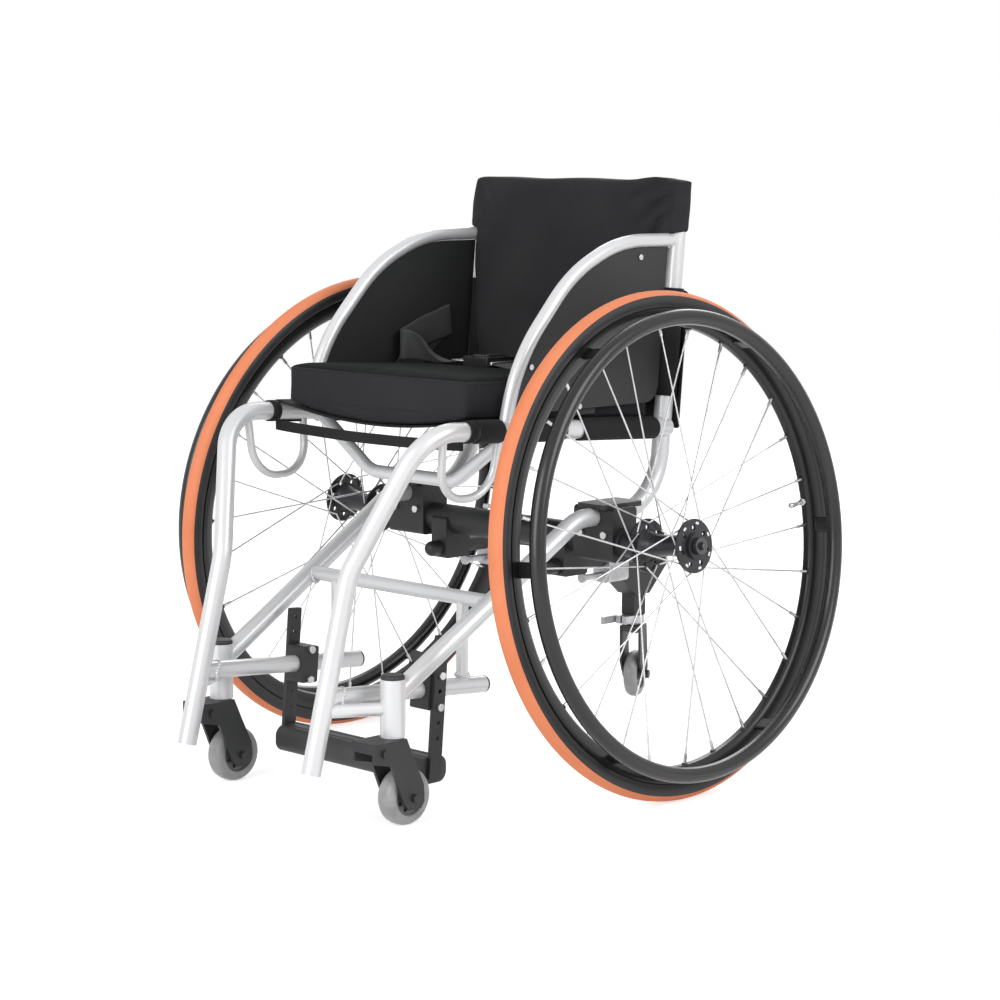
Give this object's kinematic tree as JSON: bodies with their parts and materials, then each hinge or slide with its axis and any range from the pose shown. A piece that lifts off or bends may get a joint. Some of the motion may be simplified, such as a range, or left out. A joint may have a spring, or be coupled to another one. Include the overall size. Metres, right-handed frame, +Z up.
{
  "type": "sports wheelchair",
  "caption": "rigid-frame sports wheelchair with cambered spoked wheels, swivelling casters, footplate, side guards, cushioned sling seat, lap belt and rear anti-tip caster",
  "frame": {"origin": "the floor point under the middle of the chair's overall box", "axes": "the chair faces -Y, its left side is +X, Z is up"},
  "size_m": [0.6658, 0.7248, 0.7135],
  "materials": {
    "axle_steel": "dark plated steel",
    "back_cover": "charcoal padded cover",
    "belt_webbing": "black webbing",
    "black_cap": "moulded black",
    "black_metal": "black powder coat",
    "bolt_steel": "plated steel",
    "buckle_black": "moulded black",
    "caster_grey": "grey polyurethane",
    "cushion_cover": "charcoal stretch cover",
    "footplate_black": "moulded black",
    "fork_black": "black powder coat",
    "guard_black": "black composite sheet",
    "handrim_black": "black anodised",
    "hub_black": "black anodised",
    "rim_black": "black anodised",
    "saddle_silver": "cast and tumbled",
    "silver_tube": "glossy silver-white lacquer",
    "sling_fabric": "black nylon",
    "spoke_steel": "drawn steel",
    "tyre_rubber": "orange tread with black sidewalls"
  },
  "bodies": {
    "frame": {"left_main_tube": "silver_tube", "right_main_tube": "silver_tube", "left_lower_rail": "silver_tube", "right_lower_rail": "silver_tube", "left_back_tube": "silver_tube", "right_back_tube": "silver_tube", "left_fender_arc": "silver_tube", "right_fender_arc": "silver_tube", "left_caster_housing": "silver_tube", "right_caster_housing": "silver_tube", "seat_loops": "silver_tube", "front_cross_tube": "silver_tube", "seat_cross_tube": "silver_tube", "tube_caps": "black_cap", "camber_tube": "black_metal", "left_axle_clamp": "black_metal", "right_axle_clamp": "black_metal", "left_camber_plug": "black_metal", "right_camber_plug": "black_metal", "antitip_frame": "black_metal", "antitip_clamps": "black_metal", "footrest_bars": "black_metal", "footrest_clamps": "black_metal", "left_axle_pin": "axle_steel", "right_axle_pin": "axle_steel", "frame_bolts": "bolt_steel", "footplate": "footplate_black", "seat_sling": "sling_fabric", "back_sling": "sling_fabric", "front_strap": "sling_fabric", "seat_cushion": "cushion_cover", "back_pad": "back_cover", "lap_belt": "belt_webbing", "belt_buckle": "buckle_black", "left_side_guard": "guard_black", "right_side_guard": "guard_black", "antitip_saddles": "saddle_silver", "antitip_collar": "saddle_silver"},
    "left_wheel": {"left_tyre": "tyre_rubber", "left_rim": "rim_black", "left_hub": "hub_black", "left_spokes": "spoke_steel", "left_handrim": "handrim_black"},
    "left_button": {"left_axle_button": "axle_steel"},
    "left_fork": {"left_caster_fork": "fork_black"},
    "left_caster": {"left_caster_wheel": "caster_grey"},
    "right_wheel": {"right_tyre": "tyre_rubber", "right_rim": "rim_black", "right_hub": "hub_black", "right_spokes": "spoke_steel", "right_handrim": "handrim_black"},
    "right_button": {"right_axle_button": "axle_steel"},
    "right_fork": {"right_caster_fork": "fork_black"},
    "right_caster": {"right_caster_wheel": "caster_grey"},
    "tip_post": {"antitip_post": "saddle_silver"},
    "tip_fork": {"antitip_fork": "fork_black"},
    "tip_wheel": {"antitip_wheel": "caster_grey"},
    "tip_lever": {"antitip_lever": "saddle_silver"},
    "belt_button": {"buckle_button": "buckle_black"}
  },
  "joints": [
    {"name": "left_wheel_spin", "type": "hinge", "parent": "frame", "child": "left_wheel", "pos_m": [0.261, 0.0675, 0.29368], "axis": [0.9953, 0, 0.0967], "continuous": true},
    {"name": "left_button_press", "type": "slide", "parent": "frame", "child": "left_button", "axis": [-0.9953, 0, -0.0967], "range_m": [0, 0.004], "stiffness_N_per_m": 400},
    {"name": "left_caster_swivel", "type": "hinge", "parent": "frame", "child": "left_fork", "pos_m": [0.147, -0.2665, 0.135], "axis": [0, 0, 1], "continuous": true},
    {"name": "left_caster_spin", "type": "hinge", "parent": "left_fork", "child": "left_caster", "pos_m": [0.147, -0.2495, 0.0325], "axis": [1, 0, 0], "continuous": true},
    {"name": "right_wheel_spin", "type": "hinge", "parent": "frame", "child": "right_wheel", "pos_m": [-0.261, 0.0675, 0.29368], "axis": [-0.9953, 0, 0.0967], "continuous": true},
    {"name": "right_button_press", "type": "slide", "parent": "frame", "child": "right_button", "axis": [0.9953, 0, -0.0967], "range_m": [0, 0.004], "stiffness_N_per_m": 400},
    {"name": "right_caster_swivel", "type": "hinge", "parent": "frame", "child": "right_fork", "pos_m": [-0.147, -0.2665, 0.135], "axis": [0, 0, 1], "continuous": true},
    {"name": "right_caster_spin", "type": "hinge", "parent": "right_fork", "child": "right_caster", "pos_m": [-0.147, -0.2495, 0.0325], "axis": [1, 0, 0], "continuous": true},
    {"name": "antitip_post_slide", "type": "slide", "parent": "frame", "child": "tip_post", "axis": [0, 0, 1], "range_m": [-0.03, 0]},
    {"name": "antitip_swivel", "type": "hinge", "parent": "tip_post", "child": "tip_fork", "pos_m": [0, 0.3025, 0.1345], "axis": [0, 0, 1], "continuous": true},
    {"name": "antitip_wheel_spin", "type": "hinge", "parent": "tip_fork", "child": "tip_wheel", "pos_m": [-0.00465, 0.31247, 0.072], "axis": [0.9063, 0.4226, 0], "continuous": true},
    {"name": "antitip_lever_swing", "type": "hinge", "parent": "frame", "child": "tip_lever", "pos_m": [-0.0138, 0.2845, 0.14675], "axis": [0, 0, 1], "range_deg": [-95, 0]},
    {"name": "buckle_button_press", "type": "slide", "parent": "frame", "child": "belt_button", "axis": [0, 0, -1], "range_m": [0, 0.003], "stiffness_N_per_m": 300}
  ]
}
